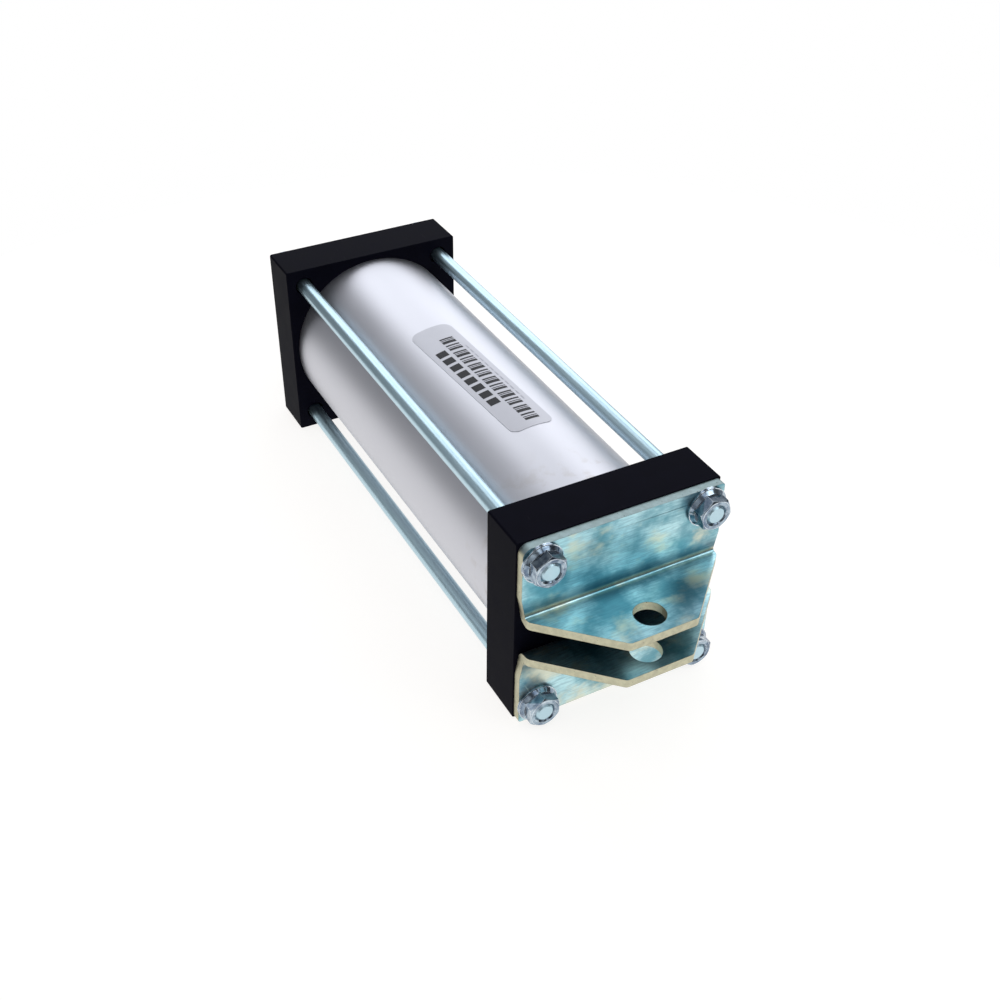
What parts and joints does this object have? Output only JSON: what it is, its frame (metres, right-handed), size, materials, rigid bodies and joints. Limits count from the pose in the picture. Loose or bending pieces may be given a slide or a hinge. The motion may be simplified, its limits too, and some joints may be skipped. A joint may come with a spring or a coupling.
{
  "type": "pneumatic cylinder",
  "caption": "Square-capped tie-rod air cylinder with a two-bracket rear clevis and a screwed clevis on its sliding, turning piston rod.",
  "frame": {"origin": "centre of the rear clevis pin hole, midway between the two tabs, on the bore axis", "axes": "+X along the bore towards the rod end, +Z along the rear clevis pin, -Y the side with the air ports"},
  "size_m": [0.3405, 0.0888, 0.0888],
  "materials": {
    "tube_aluminium": "clear anodised, satin",
    "black_cap": "black anodised, satin",
    "tie_rod_zinc": "blue zinc plated, glossy",
    "nut_zinc": "blue zinc plated, glossy",
    "bracket_zinc": "zinc plated with a blue-green passivation and pale stains, satin",
    "fork_zinc": "zinc plated, satin",
    "rod_chrome": "hard chrome, ground and polished",
    "piston_aluminium": "machined",
    "plain_steel": "machined",
    "bushing_bronze": "sintered, dull",
    "seal_rubber": "moulded, matt",
    "seal_polyurethane": "moulded, satin",
    "guide_plastic": "filled plastic, matt",
    "label_film": "printed film, satin"
  },
  "bodies": {
    "barrel": {"barrel_tube": "tube_aluminium", "rear_cap": "black_cap", "front_cap": "black_cap", "tie_rod_upper_left": "tie_rod_zinc", "tie_rod_upper_right": "tie_rod_zinc", "tie_rod_lower_left": "tie_rod_zinc", "tie_rod_lower_right": "tie_rod_zinc", "rear_flange_nuts": "nut_zinc", "front_nuts": "nut_zinc", "upper_clevis_bracket": "bracket_zinc", "lower_clevis_bracket": "bracket_zinc", "rear_tube_seal": "seal_rubber", "front_tube_seal": "seal_rubber", "rear_bumper": "seal_rubber", "front_bumper": "seal_rubber", "rod_bushing": "bushing_bronze", "rod_seal": "seal_polyurethane", "rod_wiper": "seal_rubber", "label": "label_film"},
    "piston_seals": {"rear_piston_seal": "seal_polyurethane", "front_piston_seal": "seal_polyurethane", "piston_wear_ring": "guide_plastic"},
    "rod": {"piston": "piston_aluminium", "piston_rod_seal": "seal_rubber", "piston_rod": "rod_chrome", "piston_washer": "plain_steel", "piston_nut": "plain_steel", "rod_jam_nut": "nut_zinc", "rod_clevis": "fork_zinc"}
  },
  "joints": [
    {"name": "piston_slide", "type": "slide", "parent": "barrel", "child": "piston_seals", "axis": [1, 0, 0], "range_m": [0, 0.1524]},
    {"name": "rod_turn", "type": "hinge", "parent": "piston_seals", "child": "rod", "pos_m": [0, 0, 0], "axis": [1, 0, 0], "continuous": true}
  ]
}
